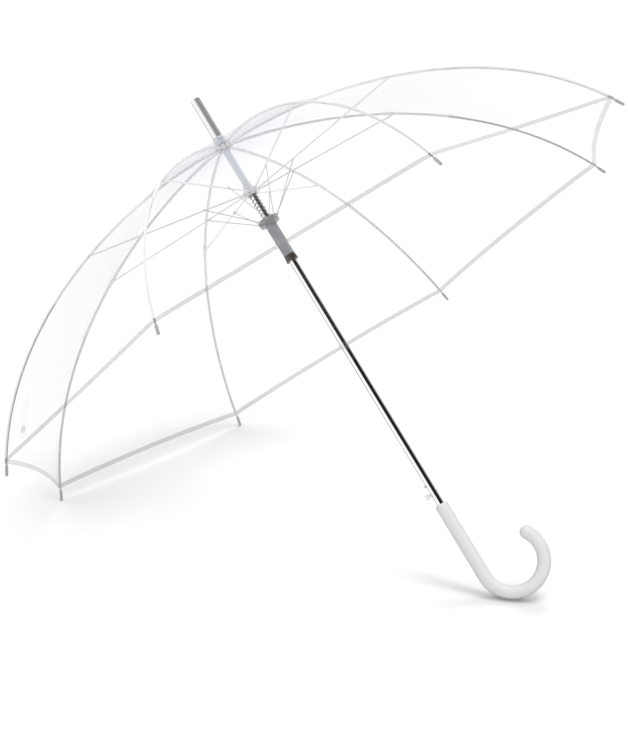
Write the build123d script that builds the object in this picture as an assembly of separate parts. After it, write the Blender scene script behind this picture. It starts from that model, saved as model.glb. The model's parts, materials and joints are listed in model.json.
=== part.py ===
from build123d import *
from math import acos, atan2, cos, degrees, hypot, radians, sin, sqrt
import os

# A clear dome umbrella of the self-opening straight kind, standing open.
# It is drawn on its own axis, with the shaft along Z and the rib tips in the plane z = 0, and then
# laid down the way it rests on the ground: on two rib tips and the bend of its handle.
# Each rib has its rods in three parallel planes: rib, stretcher and strut pass beside each other.

# --- driving dimensions, mm ---
RIBS = 8
FIRST_RIB_DEG = 22.5
RIM_R = 500.0  # rib tips from the shaft's axis
ROD_D, STRETCHER_D, STRUT_D = 2.8, 2.4, 1.6
ROD_GAP = 0.25  # between rods that pass beside each other
EYE_HOLE_R, EYE_INSET = 0.85, 0.14
WIRE_R = 0.55  # the rings of wire that the rods hinge on

SHAFT_D, SHAFT_WALL = 10.2, 0.7
SHAFT_TOP, SHAFT_BOTTOM = 290.0, -330.0

CROWN_Z, CROWN_R = 275.5, 8.0  # pivots of the ribs
HUB_Z, HUB_R = 201.0, 9.0  # pivots of the stretchers
RUNNER_Z, RUNNER_R = 153.5, 12.0  # pivots of the struts
JOINT_R = 253.0  # where a stretcher meets its rib
STRUT_R = 76.0  # where a strut meets its stretcher
FLEX_SHARE = 0.58  # where along the curve the rib gives as it straightens
TIP_LENGTH, TIP_R = 14.0, 2.2

SLEEVE_D, SLEEVE_WALL = 16.6, 0.9
SLEEVE_END_Z, END_RING_H, SPRING_SEAT_Z = 89.0, 9.0, 121.0
SLIDE_GAP = 0.3  # around the shaft, for what slides on it
SPRING_WIRE_D, SPRING_MEAN_R, SPRING_TURNS = 1.1, 6.3, 13

FERRULE_D, FERRULE_TIP_Z, FERRULE_FOOT_D, FERRULE_FOOT_TOP = 14.6, 356.0, 13.8, 292.0
HANDLE_D, HANDLE_TOP, HANDLE_STRAIGHT_END = 18.6, -303.0, -417.0
HOOK_R, HOOK_TURN_DEG, HOOK_AZIMUTH_DEG = 42.5, 212.0, 40.0
BUTTON_AZIMUTH_DEG = 225.0
BUTTON_Z, BUTTON_H, BUTTON_W = -286.0, 8.0, 5.0
BUTTON_IN_R, BUTTON_OUT_R, BUTTON_TRAVEL = 8.0, 13.8, 1.6

FILM = 0.35  # thickness of the film
FILM_LIFT, FILM_CROWN_LIFT = 2.7, 1.2  # film above the middle of a rib, and the extra at the crown
HEM_SHARE = 0.972  # how far along a rib the film reaches
HEM_DIP = 6.5  # how far the hem curves in between two ribs
GORE_SAG = 0.02  # how far the film pulls in between two ribs, as a share of its width there
STRAP_W, STRAP_L = 19.0, 62.0

CLOSED_FLEX_R, CLOSED_TIP_R = 15.0, 15.5  # a closed rib: its giving point and its tip

# The rib's outline is one cubic curve, from the crown out and down to the tip.
RIB_CURVE = [(CROWN_R, CROWN_Z), (179.0, 266.0), (409.0, 180.0), (RIM_R, 0.0)]

STRETCHER_Y = ROD_D / 2 + ROD_GAP + STRETCHER_D / 2
STRUT_Y = STRETCHER_Y + STRETCHER_D / 2 + ROD_GAP + STRUT_D / 2
SHAFT_R = SHAFT_D / 2
SLEEVE_R = SLEEVE_D / 2

nodes = {}


def add(name, *shapes):
    nodes[name] = list(shapes)


# --- the rib's curve ---
def cut_curve(points, share):
    """The control points of a curve before and after a share of its parameter."""
    before, after, level = [points[0]], [points[-1]], points
    while len(level) > 1:
        level = [
            tuple(a + (b - a) * share for a, b in zip(p, q)) for p, q in zip(level, level[1:])
        ]
        before.append(level[0])
        after.insert(0, level[-1])
    return before, after


def on_rib(share):
    """The rib's middle at a share of its parameter, and the unit normal that points up and out."""
    before, after = cut_curve(RIB_CURVE, share)
    dr, dz = after[1][0] - before[-2][0], after[1][1] - before[-2][1]
    long = hypot(dr, dz)
    return before[-1], (-dz / long, dr / long)


def share_at_radius(radius):
    low, high = 0.0, 1.0
    for _ in range(60):
        middle = (low + high) / 2
        if on_rib(middle)[0][0] < radius:
            low = middle
        else:
            high = middle
    return low


def as_path(points, y=0.0):
    return Bezier(*[(r, y, z) for r, z in points])


def rod(path, diameter):
    start = Plane(origin=path @ 0, z_dir=path % 0)
    return sweep(start * Circle(diameter / 2), path=path)


def eye(r, y, z, radius, thickness):
    return Pos(r, y, z) * Rot(90, 0, 0) * Cylinder(radius, thickness)


def trimmed(points, from_start, from_end):
    """The curve without so many millimetres at each end."""
    path = as_path(points)
    first, last = from_start / path.length, 1 - from_end / path.length
    return path.trim(max(first, 0.0), min(last, 1.0))


# --- the folding frame, in the plane of one rib ---
JOINT_SHARE = share_at_radius(JOINT_R)
JOINT_Z = on_rib(JOINT_SHARE)[0][1]
FLEX = on_rib(FLEX_SHARE)[0]
STRETCHER_SLOPE = (JOINT_Z - HUB_Z) / (JOINT_R - HUB_R)
STRUT_Z = HUB_Z + STRETCHER_SLOPE * (STRUT_R - HUB_R)
STRETCHER_LENGTH = hypot(JOINT_R - HUB_R, JOINT_Z - HUB_Z)
STRUT_AT = hypot(STRUT_R - HUB_R, STRUT_Z - HUB_Z)
STRUT_LENGTH = hypot(STRUT_R - RUNNER_R, STRUT_Z - RUNNER_Z)


def angle(a, b):
    return atan2(b[1] - a[1], b[0] - a[0])


def turned(point, about, by):
    dr, dz = point[0] - about[0], point[1] - about[1]
    return about[0] + dr * cos(by) - dz * sin(by), about[1] + dr * sin(by) + dz * cos(by)


def closed_frame():
    """How far each joint goes as the umbrella closes: turns in radians, slides in mm."""
    crown = (CROWN_R, CROWN_Z)
    reach = hypot(FLEX[0] - CROWN_R, FLEX[1] - CROWN_Z)
    hang = -acos((CLOSED_FLEX_R - CROWN_R) / reach)
    rib = hang - angle(crown, FLEX)
    flex = (CLOSED_FLEX_R, CROWN_Z + reach * sin(hang))
    outer = hypot(RIM_R - FLEX[0], FLEX[1])
    outer_turn = -acos((CLOSED_TIP_R - CLOSED_FLEX_R) / outer) - angle(FLEX, (RIM_R, 0.0))
    joint = turned((JOINT_R, JOINT_Z), crown, rib)
    hub_z = joint[1] - sqrt(STRETCHER_LENGTH**2 - (joint[0] - HUB_R) ** 2)
    up = angle((HUB_R, hub_z), joint)
    strut = (HUB_R + STRUT_AT * cos(up), hub_z + STRUT_AT * sin(up))
    runner_z = strut[1] - sqrt(STRUT_LENGTH**2 - (strut[0] - RUNNER_R) ** 2)
    return {
        "rib_turn": rib,
        "flex_turn": outer_turn - rib,
        "hub_slide": hub_z - HUB_Z,
        "stretcher_turn": up - angle((HUB_R, HUB_Z), (JOINT_R, JOINT_Z)),
        "runner_slide": runner_z - RUNNER_Z,
        "strut_turn": angle((RUNNER_R, runner_z), strut)
        - angle((RUNNER_R, RUNNER_Z), (STRUT_R, STRUT_Z)),
        "flex_point": flex,
        "joint_point": joint,
        "strut_point": strut,
    }


CLOSED = closed_frame()


def rib_parts():
    """One rib at azimuth 0: its inner and outer rod and its tip."""
    inner_curve, outer_curve = cut_curve(RIB_CURVE, FLEX_SHARE)
    knuckle_r, knuckle_gap = 1.7, 0.2
    eye_r, eye_thickness = 1.9, 1.8
    inner = rod(trimmed(inner_curve, 1.2, 0.0), ROD_D)
    inner += eye(CROWN_R, 0, CROWN_Z, eye_r, eye_thickness)
    inner += Pos(FLEX[0], 0, FLEX[1]) * Sphere(knuckle_r)
    clip_r, clip_side = 1.9, ROD_D / 2 + 0.1
    inner += eye(JOINT_R, 0, JOINT_Z, clip_r, 2 * clip_side)
    inner -= eye(CROWN_R, 0, CROWN_Z, EYE_HOLE_R, 2 * eye_thickness)
    outer = rod(trimmed(outer_curve, knuckle_r + knuckle_gap, TIP_LENGTH), ROD_D)
    end = trimmed(outer_curve, as_path(outer_curve).length - TIP_LENGTH, TIP_R)
    tip = rod(end, 2 * TIP_R)
    tip += Pos(end @ 1) * Sphere(TIP_R)
    return inner, outer, tip


def stretcher():
    along = degrees(atan2(JOINT_Z - HUB_Z, JOINT_R - HUB_R))
    eye_r, flat, end_r = 1.7, 1.2, 1.5
    straight = Line((HUB_R + 1.0, STRETCHER_Y, HUB_Z + STRETCHER_SLOPE), (JOINT_R, STRETCHER_Y, JOINT_Z))
    body = rod(straight, STRETCHER_D)
    body -= Pos(HUB_R, STRETCHER_Y, HUB_Z) * Rot(0, -along, 0) * side_cheeks(2.4, flat, STRETCHER_D)
    body += eye(HUB_R, STRETCHER_Y, HUB_Z, eye_r, flat)
    body += eye(JOINT_R, STRETCHER_Y, JOINT_Z, end_r, STRETCHER_D - EYE_INSET)
    body += eye(STRUT_R, STRETCHER_Y, STRUT_Z, end_r, STRETCHER_D - EYE_INSET)
    body -= eye(HUB_R, STRETCHER_Y, HUB_Z, EYE_HOLE_R, 2 * flat)
    return body


def side_cheeks(reach, flat, diameter):
    """What is pressed off a rod's two sides to flatten its end."""
    side = (diameter - flat) / 2
    shift = (flat + side) / 2
    cheek = Box(2 * reach, side, 3 * diameter)
    return Pos(0, shift, 0) * cheek + Pos(0, -shift, 0) * cheek


def strut():
    run, rise = STRUT_R - RUNNER_R, STRUT_Z - RUNNER_Z
    long = hypot(run, rise)
    eye_r, flat, end_r = 1.5, 1.0, 1.7
    start = (RUNNER_R + run / long, STRUT_Y, RUNNER_Z + rise / long)
    body = rod(Line(start, (STRUT_R, STRUT_Y, STRUT_Z)), STRUT_D)
    along = degrees(atan2(rise, run))
    body -= Pos(RUNNER_R, STRUT_Y, RUNNER_Z) * Rot(0, -along, 0) * side_cheeks(2.2, flat, STRUT_D)
    body += eye(RUNNER_R, STRUT_Y, RUNNER_Z, eye_r, flat)
    body += eye(STRUT_R, STRUT_Y, STRUT_Z, end_r, STRUT_D - EYE_INSET)
    body -= eye(RUNNER_R, STRUT_Y, RUNNER_Z, EYE_HOLE_R, 2 * flat)
    return body


# --- what the rods hinge on ---
def round_the_shaft(shape):
    return [Rot(0, 0, FIRST_RIB_DEG + 360 / RIBS * k) * shape for k in range(RIBS)]


def tube(outer_r, inner_r, low, high):
    middle = (low + high) / 2
    return Pos(0, 0, middle) * (Cylinder(outer_r, high - low) - Cylinder(inner_r, 2 * (high - low)))


def slot(r0, r1, y, width, low, high):
    return Pos((r0 + r1) / 2, y, (low + high) / 2) * Box(r1 - r0, width, high - low)


def ring_of_wire(radius, z):
    return Pos(0, 0, z) * Torus(radius, WIRE_R)


def hub_with_slots(body, radius, z, slots):
    for s in round_the_shaft(slots):
        body -= s
    groove = Pos(0, 0, z) * Torus(radius, WIRE_R + 0.05)
    return body - groove


def crown():
    body = tube(10.6, SHAFT_R + 0.02, CROWN_Z - 3.5, CROWN_Z + 3.2)
    slots = slot(6.0, 14.0, 0, ROD_D + 0.5, CROWN_Z - 6, CROWN_Z + 2.1)
    return hub_with_slots(body, CROWN_R, CROWN_Z, slots)


def upper_hub():
    bore = SHAFT_R + SLIDE_GAP
    body = tube(11.5, bore, HUB_Z - 4, HUB_Z + 4.5) + tube(7.0, bore, HUB_Z + 4.5, HUB_Z + 14)
    slots = slot(7.1, 14.0, STRETCHER_Y, STRETCHER_D + 0.4, HUB_Z - 2.1, HUB_Z + 6)
    return hub_with_slots(body, hypot(HUB_R, STRETCHER_Y), HUB_Z, slots)


def runner_hub():
    body = tube(14.8, SLEEVE_R + 0.02, RUNNER_Z - 5, RUNNER_Z + 4)
    slots = slot(10.2, 18.0, STRUT_Y, STRUT_D + 0.5, RUNNER_Z - 1.9, RUNNER_Z + 6)
    return hub_with_slots(body, hypot(RUNNER_R, STRUT_Y), RUNNER_Z, slots)


def button_slot():
    """The open slot in the sleeve's end that clears the button when the umbrella is closed."""
    cut = slot(0, 12, 0, BUTTON_W + 1.6, SLEEVE_END_Z - 1, SPRING_SEAT_Z - 2)
    return Rot(0, 0, BUTTON_AZIMUTH_DEG) * cut


def runner_sleeve():
    body = tube(SLEEVE_R, SLEEVE_R - SLEEVE_WALL, SLEEVE_END_Z + END_RING_H, RUNNER_Z + 4)
    return body - button_slot()


def sleeve_end():
    bottom, top = SLEEVE_END_Z, SLEEVE_END_Z + END_RING_H
    flare = Pos(0, 0, (bottom + top) / 2) * Cone(SLEEVE_R + 0.9, SLEEVE_R, top - bottom)
    flare -= Pos(0, 0, bottom) * Cylinder(SHAFT_R + SLIDE_GAP, 4 * END_RING_H)
    plug = tube(SLEEVE_R - SLEEVE_WALL - 0.02, SHAFT_R + SLIDE_GAP, top, SPRING_SEAT_Z)
    return flare + plug - button_slot()


def spring():
    low, high = SPRING_SEAT_Z, HUB_Z - 4
    half = SPRING_WIRE_D / 2
    height = high - low - SPRING_WIRE_D - 0.2
    path = Helix(height / SPRING_TURNS, height, SPRING_MEAN_R)
    return Pos(0, 0, low + half + 0.1) * rod(path, SPRING_WIRE_D)


# --- shaft, ferrule and handle ---
def shaft():
    body = tube(SHAFT_R, SHAFT_R - SHAFT_WALL, SHAFT_BOTTOM, SHAFT_TOP)
    window = slot(0, 8, 0, BUTTON_W - 1.4, BUTTON_Z - 3, BUTTON_Z + 20)
    return body - Rot(0, 0, BUTTON_AZIMUTH_DEG) * window - stop_pin()


def stop_pin():
    """The cross pin that the upper hub stops against."""
    return Pos(0, 0, HUB_Z + 15.3) * Rot(90, 0, 0) * Cylinder(1.0, SHAFT_D + 2.4)


def ferrule():
    body = tube(FERRULE_FOOT_D / 2, SHAFT_R + 0.02, CROWN_Z + 5.3, FERRULE_FOOT_TOP)
    body += tube(FERRULE_D / 2, SHAFT_R + 0.02, FERRULE_FOOT_TOP, FERRULE_FOOT_TOP + 2)
    body += tube(FERRULE_D / 2, FERRULE_D / 2 - 1.0, FERRULE_FOOT_TOP + 2, FERRULE_TIP_Z - 3)
    cap = Pos(0, 0, FERRULE_TIP_Z - 1.5) * Cylinder(FERRULE_D / 2, 3)
    body += cap
    return fillet(body.faces().sort_by(Axis.Z)[-1].edges(), 1.2)


def apex_collar():
    bore, low = FERRULE_FOOT_D / 2 + 0.02, CROWN_Z + 5.3
    return tube(bore + 2.4, bore, low, FERRULE_FOOT_TOP - 0.1) + tube(bore + 5.8, bore, low, low + 1.4)


def apex_washer():
    return tube(FERRULE_D / 2 + 1.5, SHAFT_R + 0.02, CROWN_Z + 4.4, CROWN_Z + 5.2)


def handle_path():
    bend_start = (0, 0, HANDLE_STRAIGHT_END)
    straight = Line((0, 0, HANDLE_TOP), bend_start)
    points = []
    for share in (0.5, 1.0):
        turn = radians(HOOK_TURN_DEG) * share
        points.append((HOOK_R * (1 - cos(turn)), 0, HANDLE_STRAIGHT_END - HOOK_R * sin(turn)))
    return straight, ThreePointArc(bend_start, *points)


def handle():
    straight, bend = handle_path()
    body = rod(straight, HANDLE_D)
    body = chamfer(body.faces().sort_by(Axis.Z)[-1].edges(), 3.0, 1.6)
    body += rod(bend, HANDLE_D)
    body += Pos(bend @ 1) * Sphere(HANDLE_D / 2)
    body -= Pos(0, 0, (HANDLE_TOP + SHAFT_BOTTOM) / 2) * Cylinder(SHAFT_R + 0.02, HANDLE_TOP - SHAFT_BOTTOM)
    return Rot(0, 0, HOOK_AZIMUTH_DEG) * body


def release_button():
    head = slot(BUTTON_IN_R, BUTTON_OUT_R, 0, BUTTON_W, BUTTON_Z - BUTTON_H / 2, BUTTON_Z + BUTTON_H / 2)
    head = fillet(head.edges().filter_by(Axis.X), 0.8)
    head = fillet(head.faces().sort_by(Axis.X)[-1].edges(), 0.5)
    stem = slot(SHAFT_R - 1.2, BUTTON_IN_R, 0, BUTTON_W - 2, BUTTON_Z - 2.5, BUTTON_Z + 2.5)
    return Rot(0, 0, BUTTON_AZIMUTH_DEG) * (head + stem)


def catch_spring():
    """The leaf inside the shaft that carries the button and the catch's nose."""
    leaf_r, leaf_t, leaf_w = SHAFT_R - 1.2, 0.6, BUTTON_W - 2
    low, high = BUTTON_Z - 6, BUTTON_Z + 22
    leaf = slot(leaf_r - leaf_t, leaf_r, 0, leaf_w, low, high)
    nose_z = BUTTON_Z + 14
    nose = slot(leaf_r, SHAFT_R + 2.2, 0, leaf_w - 0.4, nose_z - 2, nose_z + 2)
    nose = chamfer(nose.edges().filter_by(Axis.Y).group_by(Axis.X)[-1].sort_by(Axis.Z)[-1], 1.6)
    return Rot(0, 0, BUTTON_AZIMUTH_DEG) * (leaf + nose)


# --- the film ---
def hem_share(across):
    """How far along the ribs the film reaches, from -1 to 1 across a gore."""
    dip = HEM_DIP / as_path(RIB_CURVE).length
    return HEM_SHARE - dip * (1 - across * across)


def film_point(share, across):
    """A point of the film's inside, in a gore that spans azimuths -22.5 to 22.5 degrees."""
    (r, z), (nr, nz) = on_rib(share)
    lift = FILM_LIFT + FILM_CROWN_LIFT * (1 - share) ** 8
    r, z = r + nr * lift, z + nz * lift
    half = radians(180 / RIBS)
    seam = 0.2  # half the gap between two gores at a rib
    chord_x, chord_y = r * cos(half), r * sin(half) - seam / cos(half)
    sag = GORE_SAG * 2 * chord_y * (1 - across * across)
    return Vector(chord_x - nr * sag, chord_y * across, z - nz * sag)


def gore():
    along, over = 12, 7
    grid = []
    for i in range(over):
        across = 2 * i / (over - 1) - 1
        last = hem_share(across)
        grid.append([film_point(last * j / (along - 1), across) for j in range(along)])
    skin = Face.make_surface_from_array_of_points(grid, tol=0.01)
    outward = skin.normal_at(skin.center()).X > 0 or skin.normal_at(skin.center()).Z > 0
    return Solid.thicken(skin, FILM if outward else -FILM)


def canopy():
    step = 360 / RIBS
    piece = gore()
    return [Rot(0, 0, FIRST_RIB_DEG + step * (k + 0.5)) * piece for k in range(RIBS)]


def strap_place():
    """Where the strap is sewn: inside the hem of the gore after the sixth rib, beside that rib."""
    share, across = hem_share(-0.74) - 0.069, -0.74
    spot = film_point(share, across)
    step = 0.01
    down = film_point(share + step, across) - film_point(share - step, across)
    side = film_point(share, across + step) - film_point(share, across - step)
    out = down.cross(side).normalized()
    if out.X < 0:
        out = -out
    return Plane(origin=spot + out * (FILM + 0.75), x_dir=down, z_dir=out)


def in_strap_gore(shape):
    return Rot(0, 0, FIRST_RIB_DEG + 360 / RIBS * 5.5) * shape


def closure_strap():
    outline = fillet(Rectangle(STRAP_L, STRAP_W).vertices(), 6.0)
    strip = extrude(outline, 0.4)
    return in_strap_gore(strap_place() * strip)


def strap_snap():
    """The press stud on the strap: a low dished button with a rim."""
    stud = Pos(0, 0, 0.9) * Cylinder(5.0, 0.9) + Pos(0, 0, 1.55) * Torus(4.2, 0.5)
    return in_strap_gore(strap_place() * Pos(STRAP_L / 2 - 11, 0, 0) * stud)


# --- all the pieces, on the umbrella's own axis ---
def make_nodes():
    add("shaft", shaft())
    add("stop_pin", stop_pin())
    add("ferrule", ferrule())
    add("apex_collar", apex_collar())
    add("apex_washer", apex_washer())
    add("crown_notch", crown())
    add("crown_wire", ring_of_wire(CROWN_R, CROWN_Z))
    add("canopy", *canopy())
    add("handle", handle())
    add("upper_hub", upper_hub())
    add("upper_hub_wire", ring_of_wire(hypot(HUB_R, STRETCHER_Y), HUB_Z))
    add("runner_hub", runner_hub())
    add("runner_wire", ring_of_wire(hypot(RUNNER_R, STRUT_Y), RUNNER_Z))
    add("runner_sleeve", runner_sleeve())
    add("sleeve_end", sleeve_end())
    add("opening_spring", spring())
    add("release_button", release_button())
    add("catch_spring", catch_spring())
    add("closure_strap", closure_strap())
    add("strap_snap", strap_snap())
    families = zip(
        ("rib_inner", "rib_outer", "rib_tip", "stretcher", "strut"),
        (*rib_parts(), stretcher(), strut()),
    )
    for name, shape in families:
        for k, piece in enumerate(round_the_shaft(shape)):
            add(f"{name}_{k + 1}", piece)


# --- lying on the ground ---
def resting_height(lean, hook_azimuth):
    """The lowest points of the outermost tips and of the hook, with the axis leaning so far from upright."""
    up = Vector(sin(lean), 0, cos(lean))
    side = radians(180 - 180 / RIBS)
    ball = RIM_CURVE_END
    tip = Vector(ball[0] * cos(side), ball[0] * sin(side), ball[1]).dot(up) - TIP_R
    outward = Vector(cos(hook_azimuth), sin(hook_azimuth), 0)
    centre = outward * HOOK_R + Vector(0, 0, HANDLE_STRAIGHT_END)
    hook = centre.dot(up) - HOOK_R * hypot(outward.dot(up), up.Z) - HANDLE_D / 2
    return tip, hook


def resting_lean():
    low, high = radians(20), radians(70)
    for _ in range(60):
        middle = (low + high) / 2
        tip, hook = resting_height(middle, radians(HOOK_AZIMUTH_DEG))
        if tip > hook:
            low = middle
        else:
            high = middle
    return low


TIP_BACK = TIP_R / hypot(RIM_R - RIB_CURVE[2][0], RIB_CURVE[2][1])
RIM_CURVE_END = (
    RIM_R - (RIM_R - RIB_CURVE[2][0]) * TIP_BACK,
    RIB_CURVE[2][1] * TIP_BACK,
)
LEAN = resting_lean()
ON_THE_GROUND = Rot(0, -degrees(LEAN), 0)

def laid_down():
    """Every node's solids as they lie on the ground, with the origin at the middle of the box's base."""
    laid = {name: [ON_THE_GROUND * s for s in shapes] for name, shapes in nodes.items()}
    boxes = [s.bounding_box() for shapes in laid.values() for s in shapes]
    low = [min(tuple(b.min)[i] for b in boxes) for i in range(3)]
    high = [max(tuple(b.max)[i] for b in boxes) for i in range(3)]
    to_origin = Pos(-(low[0] + high[0]) / 2, -(low[1] + high[1]) / 2, -low[2])
    return {name: [to_origin * s for s in shapes] for name, shapes in laid.items()}, to_origin


def main():
    make_nodes()
    laid, to_origin = laid_down()
    print("leans from upright by", round(degrees(LEAN), 3), "degrees")
    print("crown of the axis at", (to_origin * ON_THE_GROUND * Pos(0, 0, CROWN_Z)).position)
    print("closing", CLOSED)
    os.makedirs("parts", exist_ok=True)
    for name, shapes in laid.items():
        whole = shapes[0] if len(shapes) == 1 else Compound(children=shapes)
        export_step(whole, f"parts/{name}.step")


if __name__ == "__main__":
    main()
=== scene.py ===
import json
from math import cos, hypot, pi, radians, sin

import bpy
from mathutils import Matrix, Vector


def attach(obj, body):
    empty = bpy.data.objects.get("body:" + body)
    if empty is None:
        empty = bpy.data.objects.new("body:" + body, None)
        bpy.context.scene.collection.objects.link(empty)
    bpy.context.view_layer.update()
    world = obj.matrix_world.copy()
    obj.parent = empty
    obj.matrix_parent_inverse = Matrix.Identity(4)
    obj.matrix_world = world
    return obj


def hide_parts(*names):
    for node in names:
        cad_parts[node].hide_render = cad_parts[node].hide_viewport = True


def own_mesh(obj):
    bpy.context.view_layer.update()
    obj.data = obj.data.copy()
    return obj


# A clear dome umbrella lying open on the floor. The steel and plastic parts are the CAD nodes with
# their materials; the film, the strap on it and the opening spring are built here.

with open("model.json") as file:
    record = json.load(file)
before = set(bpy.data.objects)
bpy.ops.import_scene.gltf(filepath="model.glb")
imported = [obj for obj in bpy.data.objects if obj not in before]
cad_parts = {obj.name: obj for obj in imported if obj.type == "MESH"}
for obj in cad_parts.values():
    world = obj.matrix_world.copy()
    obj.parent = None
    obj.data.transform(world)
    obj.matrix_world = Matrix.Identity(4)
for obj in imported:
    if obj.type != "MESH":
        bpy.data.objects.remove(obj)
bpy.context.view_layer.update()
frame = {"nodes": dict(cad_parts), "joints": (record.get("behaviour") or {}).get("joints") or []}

MM = 0.001
JOINTS = {j["name"]: j for j in frame["joints"]}
RIBS = sum(name.startswith("rib_hinge_") for name in JOINTS)

# --- the film's driving values, in millimetres on the umbrella's own axis ---
# The crown's pivots are on a circle of CROWN_R at height CROWN_Z above the plane of the rib tips.
CROWN_R, CROWN_Z = 8.0, 275.5
RIB_CURVE = [(CROWN_R, CROWN_Z), (179.0, 266.0), (409.0, 180.0), (500.0, 0.0)]
RIB_LENGTH = 588.0
FLEX_SHARE, HEM_SHARE = 0.58, 0.972
FILM_LIFT, FILM_CROWN_LIFT, CROWN_LIFT_POWER = 2.9, 1.2, 8
HEM_DIP, GORE_SAG = 6.5, 0.02
HEM_W, WELD_W = 6.6, 2.8  # the folded hem, and half the welded seam over a rib
WELD_MOST = 0.4  # of half a gore's width, near the crown
WELD_STRIPS, WELD_SPLIT = 2, 0.4  # strips of mesh in the weld, and where they meet
FOLD = 0.5  # how far inside the film its folded edge lies
SEAM_GAP = 0.02  # between two gores at a rib
INNER_ROWS, OUTER_ROWS, COLUMNS, COLUMN_SPREAD = 30, 26, 12, 1.5
PLAIN, HEM, WELD = 0, 1, 2  # the film's material slots

# The film falls a little beside the ribs, but not where it would touch a clip, a joint or a tip.
DRAPE, DRAPE_REACH, DRAPE_FROM = 1.3, 14.0, 0.08
JOINT_SHARE = 0.443  # where the stretcher's clip is on the rib
CLEAR_AT, CLEAR_SHARE = (JOINT_SHARE, FLEX_SHARE, 1.0), 0.03

# The strap is sewn inside the hem beside the sixth rib, with a press stud near its free end.
STRAP_RIB, STRAP_ACROSS, STRAP_UP = 6, -0.74, 0.069
STRAP_L, STRAP_W, STRAP_CORNER, STRAP_LIFT = 62.0, 19.0, 6.0, 0.75
# One face of the strap, as (in from the edge, height): its cushion, its border and its edge.
STRAP_FACE = [(6.0, 0.55), (2.6, 0.5), (2.0, 0.32), (0.3, 0.3), (0.0, 0.1)]
STRAP_LEAST_CORNER = 0.5
STUD_R, STUD_IN = 5.0, 11.0

# The film is gathered and a little hazy around the crown.
HAZE, HAZE_FROM, HAZE_R = 0.16, 30.0, 150.0

# The spring stands on its seat in the sleeve, around the shaft.
SPRING_SEAT_Z, SPRING_TOP_Z = 121.0, 197.0
SPRING_R, SPRING_WIRE_R, SPRING_TURNS = 6.3, 0.55, 13
SPRING_STEPS, WIRE_SIDES = 28, 10

# Above the upper hub the shaft is pale and matt: a painted veil that stands for the film's reflection
# over the chrome.
HUB_Z, PAINTED_VEIL_BLEND = 201.0, 4.0

# --- the umbrella's axes in the row frame, from its joints ---
UP = Vector(JOINTS["runner_slide"]["axis"]).normalized()


def hinge(k):
    return Vector(JOINTS[f"rib_hinge_{k}"]["pos_m"])


CROWN = sum((hinge(k) for k in range(1, RIBS + 1)), Vector()) / RIBS
RIM_CENTRE = CROWN - UP * CROWN_Z * MM
HALF_STEP = pi / RIBS


def rib_axes(k):
    """Outward and sideways from the shaft at rib k."""
    side = -Vector(JOINTS[f"rib_hinge_{k}"]["axis"]).normalized()
    return side.cross(UP), side


def in_row(k, x, y, z):
    """A point given in millimetres from the shaft's axis at rib k, in the row frame."""
    out, side = rib_axes(k)
    return RIM_CENTRE + (out * x + side * y + UP * z) * MM


# --- the film's shape ---
def on_rib(share):
    """The rib's middle at a share of its curve, and the unit normal that points up and out."""
    a, b = 1 - share, share
    weights = (a**3, 3 * a * a * b, 3 * a * b * b, b**3)
    slopes = (-a * a, a * a - 2 * a * b, 2 * a * b - b * b, b * b)
    r, z = (sum(w * p[i] for w, p in zip(weights, RIB_CURVE)) for i in (0, 1))
    dr, dz = (sum(w * p[i] for w, p in zip(slopes, RIB_CURVE)) for i in (0, 1))
    length = hypot(dr, dz)
    return r, z, -dz / length, dr / length


def hem_share(across):
    return HEM_SHARE - HEM_DIP / RIB_LENGTH * (1 - across * across)


def half_chord(share):
    r, _, nr, _ = on_rib(share)
    return (r + nr * FILM_LIFT) * sin(HALF_STEP)


def smooth(t):
    t = min(max(t, 0.0), 1.0)
    return t * t * (3 - 2 * t)


def drape(share, across):
    """How far the film falls beside a rib: nothing at the crown, and none at the places kept clear."""
    away = (1 + across) * half_chord(share)
    fall = smooth(away / WELD_W) if away < WELD_W else 1 - smooth((away - WELD_W) / DRAPE_REACH)
    for place in CLEAR_AT:
        fall *= smooth(abs(share - place) / CLEAR_SHARE - 0.5)
    return DRAPE * fall * smooth(share / DRAPE_FROM)


def film_point(share, across, inside=0.0):
    """A point of the film in a rib's axes; across is -1 at the rib and 0 in the middle of the gore."""
    r, z, nr, nz = on_rib(share)
    lift = FILM_LIFT - inside + FILM_CROWN_LIFT * (1 - share) ** CROWN_LIFT_POWER
    r, z = r + nr * lift, z + nz * lift
    chord_x, chord_y = r * cos(HALF_STEP), r * sin(HALF_STEP) - SEAM_GAP
    sag = GORE_SAG * 2 * chord_y * (1 - across * across) + drape(share, across)
    gx, gy = chord_x - nr * sag, chord_y * across
    x = gx * cos(HALF_STEP) - gy * sin(HALF_STEP)
    y = gx * sin(HALF_STEP) + gy * cos(HALF_STEP)
    return x, y, z - nz * sag


def film_spot(k, hand, share, across, inside=0.0):
    x, y, z = film_point(share, across, inside)
    return in_row(k, x, hand * y, z)


def film_normal(k, hand, share, across):
    step = 0.002
    along = film_spot(k, hand, share + step, across) - film_spot(k, hand, share - step, across)
    over = film_spot(k, hand, share, across + step) - film_spot(k, hand, share, across - step)
    return (along.cross(over) * hand).normalized()


def columns(share):
    """Where the film's columns are across half a gore: two strips of weld, and on to the middle."""
    weld = min(WELD_W / half_chord(share), WELD_MOST)
    seam = [-1.0, WELD_SPLIT * weld - 1]
    free = [(j / COLUMNS) ** COLUMN_SPREAD for j in range(COLUMNS + 1)]
    return seam + [weld - 1 + (1 - weld) * f for f in free]


def mesh_object(name, points, faces, materials):
    mesh = bpy.data.meshes.new(name)
    mesh.from_pydata([tuple(p) for p in points], [], faces)
    for m in materials:
        mesh.materials.append(m)
    mesh.polygons.foreach_set("use_smooth", [True] * len(mesh.polygons))
    mesh.update()
    ob = bpy.data.objects.new(name, mesh)
    bpy.context.scene.collection.objects.link(ob)
    return ob


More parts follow.
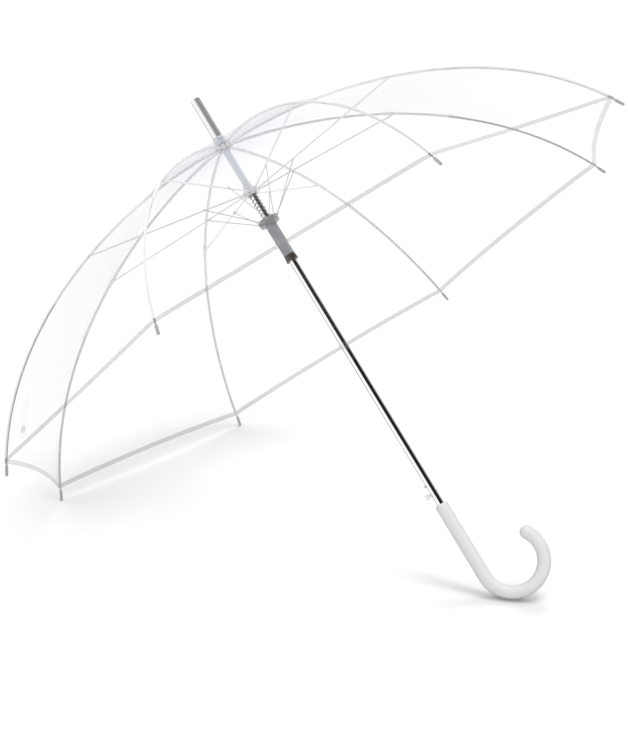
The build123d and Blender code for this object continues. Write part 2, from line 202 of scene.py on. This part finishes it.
def film_rows(part):
    """The shares along the rib of each row of the film, as functions of the place across."""
    if part == "inner":
        return [lambda a, i=i: FLEX_SHARE * i / INNER_ROWS for i in range(INNER_ROWS + 1)]
    band = HEM_W / RIB_LENGTH
    open_film = [
        lambda a, i=i: FLEX_SHARE + (hem_share(a) - band - FLEX_SHARE) * i / OUTER_ROWS
        for i in range(OUTER_ROWS + 1)
    ]
    return open_film + [lambda a: hem_share(a) - band / 2, hem_share]


def half_gore(k, hand, part, looks):
    """The film beside rib k as far as the middle of its gore, above or below the rib's giving point."""
    rows = film_rows(part)
    points, normals, faces, kinds = [], [], [], []
    wide = COLUMNS + 1 + WELD_STRIPS
    for row in rows:
        for a in columns(row(-1.0)):
            points.append(film_spot(k, hand, row(a), a))
            normals.append(film_normal(k, hand, row(a), a))
    if part == "outer":  # the hem is folded in and welded down
        for row in (rows[-1], rows[-3]):
            for a in columns(row(-1.0)):
                points.append(film_spot(k, hand, row(a), a, FOLD))
                normals.append(-film_normal(k, hand, row(a), a))
    count = len(points) // wide
    for i in range(count - 1):
        for j in range(wide - 1):
            corners = (i * wide + j, (i + 1) * wide + j, (i + 1) * wide + j + 1, i * wide + j + 1)
            faces.append(corners if hand > 0 else corners[::-1])
            hem = part == "outer" and i >= OUTER_ROWS
            kinds.append(HEM if hem else WELD if j < WELD_STRIPS else PLAIN)
    ob = mesh_object(f"film_{part}_{k}_{'a' if hand > 0 else 'b'}", points, faces, looks)
    ob.data.polygons.foreach_set("material_index", kinds)
    ob.data.normals_split_custom_set_from_vertices(normals)
    return ob


def fold_away(k, hand, part):
    """The direction across a half gore, at right angles to its rib, and the middle of its seam."""
    shares = [row(-1.0) for row in film_rows(part)]
    seam = [film_spot(k, hand, s, -1.0) for s in shares]
    middle = [film_spot(k, hand, s, 0.0) for s in shares]
    along = (seam[-1] - seam[0]).normalized()
    across = sum((m - s for m, s in zip(middle, seam)), Vector())
    across -= along * across.dot(along)
    return across.normalized(), sum(seam, Vector()) / len(seam)


def half_gore_cut(part):
    """Width, length and area of the flat film that a half gore is cut from, in metres."""
    shares = [row(-1.0) for row in film_rows(part)]
    spots = [on_rib(s) for s in shares]
    area = length = 0.0
    for s0, s1, p0, p1 in zip(shares, shares[1:], spots, spots[1:]):
        step = hypot(p1[0] - p0[0], p1[1] - p0[1])
        length += step
        area += step * (half_chord(s0) + half_chord(s1)) / 2
    if part == "outer":
        area += HEM_W * half_chord(HEM_SHARE)  # what is folded under
        length += HEM_W
    return half_chord(shares[-1]) * MM, length * MM, area * MM * MM


def canopy(looks):
    for k in range(1, RIBS + 1):
        for hand in (1, -1):
            for part in ("inner", "outer"):
                piece = half_gore(k, hand, part, looks)
                width, length, area = half_gore_cut(part)
                rib = f"rib_{part}_{k}"
                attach(piece, rib)
                across, seam = fold_away(k, hand, part)
                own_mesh(piece)
                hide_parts("canopy")


# --- the closing strap ---
def strap_axes():
    """Where the strap lies on the film: its middle, and down, sideways and out from there."""
    share = hem_share(STRAP_ACROSS) - STRAP_UP
    spot = film_spot(STRAP_RIB, 1, share, STRAP_ACROSS)
    out = film_normal(STRAP_RIB, 1, share, STRAP_ACROSS)
    down = film_spot(STRAP_RIB, 1, share + 0.01, STRAP_ACROSS) - spot
    down = (down - out * down.dot(out)).normalized()
    return spot + out * STRAP_LIFT * MM, down, out.cross(down), out


def rounded_outline(length, width, corner, steps=6):
    """A rectangle with round corners, about its middle."""
    points = []
    for quarter, (sx, sy) in enumerate(((1, 1), (-1, 1), (-1, -1), (1, -1))):
        cx, cy = sx * (length / 2 - corner), sy * (width / 2 - corner)
        for i in range(steps + 1):
            turn = pi / 2 * (quarter + i / steps)
            points.append((cx + corner * cos(turn), cy + corner * sin(turn)))
    return points


def strap(film):
    """A strip of doubled film with a welded border and slightly cushioned faces."""
    middle, down, side, out = strap_axes()
    rings = STRAP_FACE + [(shrink, -height) for shrink, height in reversed(STRAP_FACE)]
    points = []
    for shrink, height in rings:
        corner = max(STRAP_CORNER - shrink, STRAP_LEAST_CORNER)
        for x, y in rounded_outline(STRAP_L - 2 * shrink, STRAP_W - 2 * shrink, corner):
            points.append(middle + (down * x + side * y + out * height) * MM)
    n = len(points) // len(rings)
    faces = []
    for i in range(len(rings) - 1):
        for j in range(n):
            a, b = i * n + j, i * n + (j + 1) % n
            faces.append((a, a + n, b + n, b))
    faces += [tuple(range(n)), tuple(range(len(points) - 1, len(points) - n - 1, -1))]
    return mesh_object("strap", points, faces, [film])


def turned(name, outline, centre, axis, steps, materials):
    """A shape turned about an axis from an outline of (radius, height), in millimetres."""
    first = axis.orthogonal().normalized()
    second = axis.cross(first)
    points, faces = [], []
    for r, h in outline:
        for i in range(steps):
            a = 2 * pi * i / steps
            points.append(centre + (first * cos(a) * r + second * sin(a) * r + axis * h) * MM)
    for i in range(len(outline) - 1):
        for j in range(steps):
            a, b = i * steps + j, i * steps + (j + 1) % steps
            faces.append((a, b, b + steps, a + steps))
    faces += [tuple(range(steps))[::-1], tuple(range(len(points) - steps, len(points)))]
    return mesh_object(name, points, faces, materials)


def strap_stud(plastic):
    middle, down, _, out = strap_axes()
    centre = middle + down * (STRAP_L / 2 - STUD_IN) * MM
    outline = [  # the rim, then the pip in its middle
        (STUD_R - 0.4, 0.2), (STUD_R, 0.5), (STUD_R, 1.2), (STUD_R - 0.3, 1.8), (STUD_R - 0.9, 1.95),
        (STUD_R - 1.4, 1.7), (STUD_R - 1.7, 1.3), (1.8, 1.2), (1.4, 1.5), (0.6, 1.6),
    ]
    return turned("strap_stud", outline, centre, out, 32, [plastic])


def fold_strap(piece):
    """Strap and stud ride on the outer part of their rib, beside it."""
    across, seam = fold_away(STRAP_RIB, 1, "outer")
    middle = strap_axes()[0]
    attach(piece, f"rib_outer_{STRAP_RIB}")
    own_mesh(piece)


# --- the opening spring ---
def opening_spring(steel):
    """A wire helix around the shaft, with its end turns closed up."""
    height = SPRING_TOP_Z - SPRING_SEAT_Z - 2 * SPRING_WIRE_R
    total = (SPRING_TURNS + 2) * SPRING_STEPS
    closed = 2 * SPRING_WIRE_R
    points, faces = [], []
    for i in range(total + 1):
        turn = i / SPRING_STEPS
        if turn < 1:
            z = closed * turn * 0.5
        elif turn > SPRING_TURNS + 1:
            z = height - closed * (SPRING_TURNS + 2 - turn) * 0.5
        else:
            z = closed * 0.5 + (height - closed) * (turn - 1) / SPRING_TURNS
        z += SPRING_SEAT_Z + SPRING_WIRE_R
        for j in range(WIRE_SIDES):
            a = 2 * pi * j / WIRE_SIDES
            r = SPRING_R + SPRING_WIRE_R * cos(a)
            angle = 2 * pi * turn
            spot = (r * cos(angle), r * sin(angle), z + SPRING_WIRE_R * sin(a))
            points.append(in_row(1, *spot))
    for i in range(total):
        for j in range(WIRE_SIDES):
            a, b = i * WIRE_SIDES + j, i * WIRE_SIDES + (j + 1) % WIRE_SIDES
            faces.append((a, a + WIRE_SIDES, b + WIRE_SIDES, b))
    faces += [tuple(range(WIRE_SIDES)), tuple(range(len(points) - 1, len(points) - WIRE_SIDES - 1, -1))]
    ob = mesh_object("spring", points, faces, [steel])
    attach(ob, "runner")
    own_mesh(ob)
    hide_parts("opening_spring")


# --- materials ---
NOISE_LOW, NOISE_HIGH = 0.3, 0.7  # most of a noise lies between these


class Look:
    """A material with one Principled shader, and short calls for the nodes that feed it."""

    def __init__(self, name, colour, roughness, metallic=0.0, **sockets):
        self.material = bpy.data.materials.new(name)
        self.material.use_nodes = True
        self.tree = self.material.node_tree
        self.shader = self.tree.nodes["Principled BSDF"]
        self.set("Base Color", (*colour, 1.0))
        self.set("Roughness", roughness)
        self.set("Metallic", metallic)
        for socket, value in sockets.items():
            self.set(socket.replace("_", " "), value)
        self.place = self.node("ShaderNodeTexCoord").outputs["Object"]

    def set(self, socket, value):
        self.shader.inputs[socket].default_value = value

    def node(self, kind, **values):
        made = self.tree.nodes.new(kind)
        for key, value in values.items():
            setattr(made, key, value)
        return made

    def link(self, a, b):
        self.tree.links.new(a, b)

    def noise(self, scale, detail=3.0, stretch=None):
        """Noise in object space; stretch scales it along the shaft's axis."""
        made = self.node("ShaderNodeTexNoise")
        made.inputs["Scale"].default_value = scale
        made.inputs["Detail"].default_value = detail
        source = self.place
        if stretch is not None:
            lay = self.node("ShaderNodeMapping", vector_type="TEXTURE")
            lay.inputs["Rotation"].default_value = UP.to_track_quat("Z", "Y").to_euler()
            lay.inputs["Scale"].default_value = (1.0, 1.0, stretch)
            self.link(source, lay.inputs["Vector"])
            source = lay.outputs["Vector"]
        self.link(source, made.inputs["Vector"])
        return made.outputs["Fac"]

    def spread(self, value, low, high, start=NOISE_LOW, end=NOISE_HIGH):
        """value between start and end, mapped to low and high."""
        made = self.node("ShaderNodeMapRange")
        for socket, number in zip(("From Min", "From Max", "To Min", "To Max"), (start, end, low, high)):
            made.inputs[socket].default_value = number
        self.link(value, made.inputs["Value"])
        return made.outputs["Result"]

    def vary_colour(self, value, first, second, start=NOISE_LOW, end=NOISE_HIGH):
        """The colour goes from first to second as value goes from start to end."""
        made = self.node("ShaderNodeValToRGB")
        ends = made.color_ramp.elements
        ends[0].position, ends[1].position = start, end
        ends[0].color, ends[1].color = (*first, 1.0), (*second, 1.0)
        self.link(value, made.inputs["Fac"])
        self.link(made.outputs["Color"], self.shader.inputs["Base Color"])
        return made.outputs["Color"]

    def facing(self):
        """0 where the surface faces the eye, and 1 where it is seen edge on."""
        made = self.node("ShaderNodeLayerWeight")
        made.inputs["Blend"].default_value = 0.5
        return made.outputs["Facing"]

    def from_place(self, operation, other):
        """A number from the place on the object and another vector."""
        made = self.node("ShaderNodeVectorMath", operation=operation)
        made.inputs[1].default_value = other
        self.link(self.place, made.inputs[0])
        return made.outputs["Value"]

    def add_scaled(self, value, factor, added):
        """value times factor, and added on top."""
        made = self.node("ShaderNodeMath", operation="MULTIPLY_ADD")
        made.inputs[1].default_value = factor
        self.link(value, made.inputs[0])
        self.link(added, made.inputs[2])
        return made.outputs["Value"]

    def blend(self, value, first, second):
        """first where value is 0, and second where it is 1; either is a colour or a socket."""
        made = self.node("ShaderNodeMix", data_type="RGBA")
        for socket, colour in (("A", first), ("B", second)):
            if isinstance(colour, tuple):
                made.inputs[socket].default_value = (*colour, 1.0)
            else:
                self.link(colour, made.inputs[socket])
        self.link(value, made.inputs["Factor"])
        return made.outputs["Result"]

    def vary_roughness(self, value, low, high):
        self.link(self.spread(value, low, high), self.shader.inputs["Roughness"])

    def bump(self, value, strength, height):
        made = self.node("ShaderNodeBump")
        made.inputs["Strength"].default_value = strength
        made.inputs["Distance"].default_value = height * MM
        self.link(value, made.inputs["Height"])
        self.link(made.outputs["Normal"], self.shader.inputs["Normal"])


def chrome():
    """Bright below the upper hub, with a painted dark reflection along its rims; above the hub it is pale
    and matt, a painted veil for the film's reflection over it.
    """
    middle, edge, painted_veil_colour = (0.95, 0.95, 0.96), (0.14, 0.14, 0.15), (0.74, 0.76, 0.81)
    look = Look("chrome", (0.86, 0.87, 0.89), 0.06, 1.0)
    # Painted reflection: the base colour darkens to near black where the tube is seen edge on, standing
    # for dark reflections at its rims.
    chrome_painted_rims = look.vary_colour(look.facing(), middle, edge, start=0.34, end=0.62)
    # Painted veil: above the upper hub the colour turns pale blue-grey and the finish matt, standing for
    # the film's pale reflection over the chrome.
    hub, fade = RIM_CENTRE.dot(UP) + HUB_Z * MM, PAINTED_VEIL_BLEND * MM
    height = look.from_place("DOT_PRODUCT", UP)
    above_hub = look.spread(height, 0.0, 1.0, start=hub - fade, end=hub + fade)
    look.link(look.blend(above_hub, chrome_painted_rims, painted_veil_colour), look.shader.inputs["Base Color"])
    look.link(look.spread(above_hub, 1.0, 0.15, start=0.0, end=1.0), look.shader.inputs["Metallic"])
    grain = look.spread(look.noise(900, 4, stretch=30), 0.035, 0.1)
    look.link(look.add_scaled(above_hub, 0.5, grain), look.shader.inputs["Roughness"])
    look.bump(look.noise(1400, 2, stretch=40), strength=0.06, height=0.02)
    return look.material


def ferrule_chrome():
    middle, edge = (0.96, 0.96, 0.97), (0.4, 0.4, 0.41)
    look = Look("ferrule_chrome", (0.9, 0.9, 0.91), 0.36, 0.75)
    # Painted reflection: the base colour darkens from 0.96 to 0.4 where the ferrule is seen edge on,
    # standing for dark reflections at its sides.
    look.vary_colour(look.facing(), middle, edge, start=0.3, end=0.7)
    look.vary_roughness(look.noise(700, 3, stretch=20), low=0.32, high=0.4)
    return look.material


def rib_steel():
    look = Look("rib_steel", (0.7, 0.7, 0.71), 0.2, 0.55)
    look.vary_colour(look.noise(160, 4), (0.62, 0.62, 0.63), (0.74, 0.74, 0.75))
    look.vary_roughness(look.noise(500, 3), low=0.14, high=0.26)
    look.bump(look.noise(1200, 2), strength=0.08, height=0.03)
    return look.material


def pale_steel(name, colour):
    """Zinc-plated steel, more matt than the tube."""
    look = Look(name, colour, 0.4, 0.25)
    look.vary_colour(look.noise(140, 4), [c * 0.9 for c in colour], colour)
    look.vary_roughness(look.noise(450, 3), low=0.3, high=0.5)
    look.bump(look.noise(1200, 2), strength=0.06, height=0.03)
    return look.material


def spring_steel():
    look = Look("spring_steel", (0.5, 0.5, 0.52), 0.2, 1.0)
    look.vary_colour(look.noise(220, 3), (0.36, 0.36, 0.38), (0.56, 0.56, 0.58))
    look.vary_roughness(look.noise(800, 3), low=0.12, high=0.3)
    return look.material


def white_plastic():
    look = Look("white_plastic", (0.8, 0.8, 0.8), 0.4, Specular_IOR_Level=0.25)
    # Painted shade: the base colour darkens from 0.8 to 0.5 where the plastic is seen edge on, standing
    # for the shading along its rims.
    look.vary_colour(look.facing(), (0.8, 0.8, 0.805), (0.5, 0.5, 0.51), start=0.08, end=0.85)
    look.vary_roughness(look.noise(120, 4), low=0.3, high=0.44)
    look.bump(look.noise(1500, 3), strength=0.12, height=0.04)
    return look.material


def clear_plastic():
    look = Look("clear_plastic", (0.88, 0.89, 0.91), 0.22, Alpha=0.62, Coat_Weight=0.2)
    look.vary_colour(look.noise(60, 2), (0.84, 0.85, 0.87), (0.92, 0.93, 0.95))
    look.vary_roughness(look.noise(300, 3), low=0.16, high=0.3)
    look.bump(look.noise(900, 2), strength=0.08, height=0.03)
    return look.material


def smoke_plastic():
    look = Look("smoke_plastic", (0.36, 0.35, 0.35), 0.25, Alpha=0.7)
    look.vary_colour(look.noise(90, 2), (0.3, 0.29, 0.29), (0.42, 0.42, 0.43))
    look.vary_roughness(look.noise(300, 3), low=0.18, high=0.34)
    return look.material


def grey_plastic(name, dark, light):
    look = Look(name, light, 0.32, Coat_Weight=0.15)
    look.vary_colour(look.noise(70, 3), dark, light)
    look.vary_roughness(look.noise(260, 4), low=0.26, high=0.42)
    look.bump(look.noise(1400, 3), strength=0.1, height=0.03)
    return look.material


def film_look():
    """Clear film: nearly nothing head on, grey where it is seen edge on, and bluish at the crown."""
    clear, crown_tint = (0.45, 0.45, 0.48), (0.4, 0.42, 0.72)
    edge_power, edge_alpha = 5.5, 0.55
    look = Look("film", (0.45, 0.45, 0.49), 0.06)
    edge = look.node("ShaderNodeMath", operation="POWER")
    edge.inputs[1].default_value = edge_power
    look.link(look.facing(), edge.inputs[0])
    seen = look.add_scaled(edge.outputs["Value"], edge_alpha, look.spread(look.noise(7, 2), 0.008, 0.026))
    from_crown = look.from_place("DISTANCE", CROWN)
    near = look.spread(from_crown, 1.0, 0.0, start=HAZE_FROM * MM, end=HAZE_R * MM)
    look.link(look.add_scaled(near, HAZE, seen), look.shader.inputs["Alpha"])
    look.link(look.blend(near, clear, crown_tint), look.shader.inputs["Base Color"])
    look.bump(look.noise(22, 2), strength=0.25, height=1.2)
    return look.material


def weld_look(name, colour, alpha):
    """Film doubled and welded, with the fine waffle of the welding wheel."""
    look = Look(name, colour, 0.3, Alpha=alpha)
    look.vary_colour(look.noise(500, 2), [c * 0.93 for c in colour], colour)
    look.bump(look.noise(900, 1), strength=0.3, height=0.15)
    return look.material


def dress_nodes(looks):
    by_name = {
        "shaft": "chrome", "ferrule": "ferrule", "stop_pin": "chrome", "handle": "white",
        "apex_collar": "clear", "apex_washer": "clear", "crown_notch": "white", "crown_wire": "rod",
        "upper_hub": "clear", "upper_hub_wire": "rod", "runner_hub": "smoke", "runner_wire": "rod",
        "runner_sleeve": "grey", "sleeve_end": "dark", "release_button": "clear", "catch_spring": "rod",
    }
    by_family = {
        "rib_inner": "rod", "rib_outer": "rib", "rib_tip": "tip", "stretcher": "rod", "strut": "strut",
    }
    for name, node in frame["nodes"].items():
        if node.hide_render:
            continue
        look = by_name.get(name) or by_family[name.rsplit("_", 1)[0]]
        for slot in node.material_slots:
            slot.material = looks[look]


# --- floor, light and camera ---
FLOOR_GLOW, ROOM_LIGHT, MIRRORED_ROOM = 0.12, 0.72, 1.0
FLOOR_HALF = 60.0
FLOOR_PALE, FLOOR_SHADED, SHADE_REACH = (0.76, 0.76, 0.76), (0.34, 0.34, 0.34), 0.16
SCREEN_AT, SCREEN_HALF, SCREEN_SOFT = (0.6, -0.01, 0.8), 59.0, 3.0
WHITE, SCREEN_DARK = (1.0, 1.0, 1.0, 1.0), (0.014, 0.014, 0.016, 1.0)


def floor():
    """White paper, a little shaded where something stands close to it."""
    far = FLOOR_HALF
    corners = [(-far, -far, 0.0), (far, -far, 0.0), (far, far, 0.0), (-far, far, 0.0)]
    look = Look("floor", FLOOR_PALE, 0.9)
    near = look.node("ShaderNodeAmbientOcclusion")
    near.inputs["Distance"].default_value = SHADE_REACH
    paper = look.blend(near.outputs["AO"], FLOOR_SHADED, FLOOR_PALE)
    look.link(paper, look.shader.inputs["Base Color"])
    look.set("Emission Color", WHITE)
    look.set("Emission Strength", FLOOR_GLOW)
    ob = mesh_object("floor", corners, [(0, 1, 2, 3)], [look.material])


def soft_light(name, azimuth, elevation, spread, power):
    """A wide soft light, which the chrome does not mirror; the azimuth goes from -Y towards +X."""
    light = bpy.data.lights.new(name, "SUN")
    light.angle, light.energy = radians(spread), power
    ob = bpy.data.objects.new(name, light)
    a, e = radians(azimuth), radians(elevation)
    towards = Vector((sin(a) * cos(e), -cos(a) * cos(e), sin(e)))
    ob.rotation_euler = towards.to_track_quat("Z", "Y").to_euler()
    ob.visible_glossy = False
    bpy.context.scene.collection.objects.link(ob)


def studio_world():
    """A white room; a dark screen beside it is seen only in the mirror finishes, as a black band."""
    world = bpy.data.worlds.new("studio")
    world.use_nodes = True
    nodes, links = world.node_tree.nodes, world.node_tree.links
    place = nodes.new("ShaderNodeTexCoord")
    dot = nodes.new("ShaderNodeVectorMath")
    dot.operation = "DOT_PRODUCT"
    dot.inputs[1].default_value = Vector(SCREEN_AT).normalized()
    ramp = nodes.new("ShaderNodeValToRGB")
    ramp.color_ramp.elements[0].position = cos(radians(SCREEN_HALF + SCREEN_SOFT))
    ramp.color_ramp.elements[1].position = cos(radians(SCREEN_HALF - SCREEN_SOFT))
    ramp.color_ramp.elements[0].color = WHITE
    ramp.color_ramp.elements[1].color = SCREEN_DARK
    path = nodes.new("ShaderNodeLightPath")
    mix = nodes.new("ShaderNodeMix")
    mix.data_type = "RGBA"
    mix.inputs["A"].default_value = WHITE
    links.new(place.outputs["Generated"], dot.inputs[0])
    links.new(dot.outputs["Value"], ramp.inputs["Fac"])
    links.new(path.outputs["Is Glossy Ray"], mix.inputs["Factor"])
    links.new(ramp.outputs["Color"], mix.inputs["B"])
    links.new(mix.outputs["Result"], nodes["Background"].inputs["Color"])
    power = nodes.new("ShaderNodeMapRange")
    power.inputs["To Min"].default_value = ROOM_LIGHT
    power.inputs["To Max"].default_value = MIRRORED_ROOM
    links.new(path.outputs["Is Glossy Ray"], power.inputs["Value"])
    links.new(power.outputs["Result"], nodes["Background"].inputs["Strength"])
    bpy.context.scene.world = world


def camera():
    aim, distance = Vector((-0.007, -0.017, 0.238)), 3.0
    azimuth, elevation, roll = radians(40.35), radians(21.96), radians(1.45)
    back = Vector((sin(azimuth) * cos(elevation), -cos(azimuth) * cos(elevation), sin(elevation)))
    data = bpy.data.cameras.new("camera")
    data.lens = 104.47
    ob = bpy.data.objects.new("camera", data)
    ob.location = aim + back * distance
    level = (-back).to_track_quat("-Z", "Y").to_matrix()
    ob.rotation_euler = (level @ Matrix.Rotation(roll, 3, "Z")).to_euler()
    bpy.context.scene.collection.objects.link(ob)
    bpy.context.scene.camera = ob


def node_looks():
    """The materials of the CAD nodes, by the names that dress_nodes uses."""
    return {
        "chrome": chrome(),
        "ferrule": ferrule_chrome(),
        "rib": rib_steel(),
        "rod": pale_steel("rod_steel", (0.85, 0.85, 0.86)),
        "strut": pale_steel("strut_steel", (0.7, 0.7, 0.71)),
        "tip": pale_steel("tip_steel", (0.5, 0.5, 0.48)),
        "white": white_plastic(),
        "clear": clear_plastic(),
        "smoke": smoke_plastic(),
        "grey": grey_plastic("grey_plastic", (0.26, 0.26, 0.28), (0.34, 0.34, 0.36)),
        "dark": grey_plastic("dark_plastic", (0.05, 0.042, 0.036), (0.1, 0.088, 0.075)),
    }


def main():
    film = film_look()
    hem = weld_look("hem", (0.32, 0.32, 0.33), 0.26)
    weld = weld_look("seam_weld", (0.9, 0.9, 0.92), 0.8)
    canopy([film, hem, weld])
    belt = strap(weld_look("strap_film", (0.7, 0.69, 0.58), 0.035))
    stud = strap_stud(weld_look("stud_plastic", (0.5, 0.5, 0.49), 0.22))
    for piece, node in ((belt, "closure_strap"), (stud, "strap_snap")):
        fold_strap(piece)
        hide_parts(node)
    opening_spring(spring_steel())
    dress_nodes(node_looks())
    floor()
    studio_world()
    soft_light("top", 150.0, 76.0, 24.0, 1.3)
    soft_light("back", 215.0, 48.0, 16.0, 0.75)
    camera()
    bpy.context.scene.view_settings.view_transform = "Standard"


main()
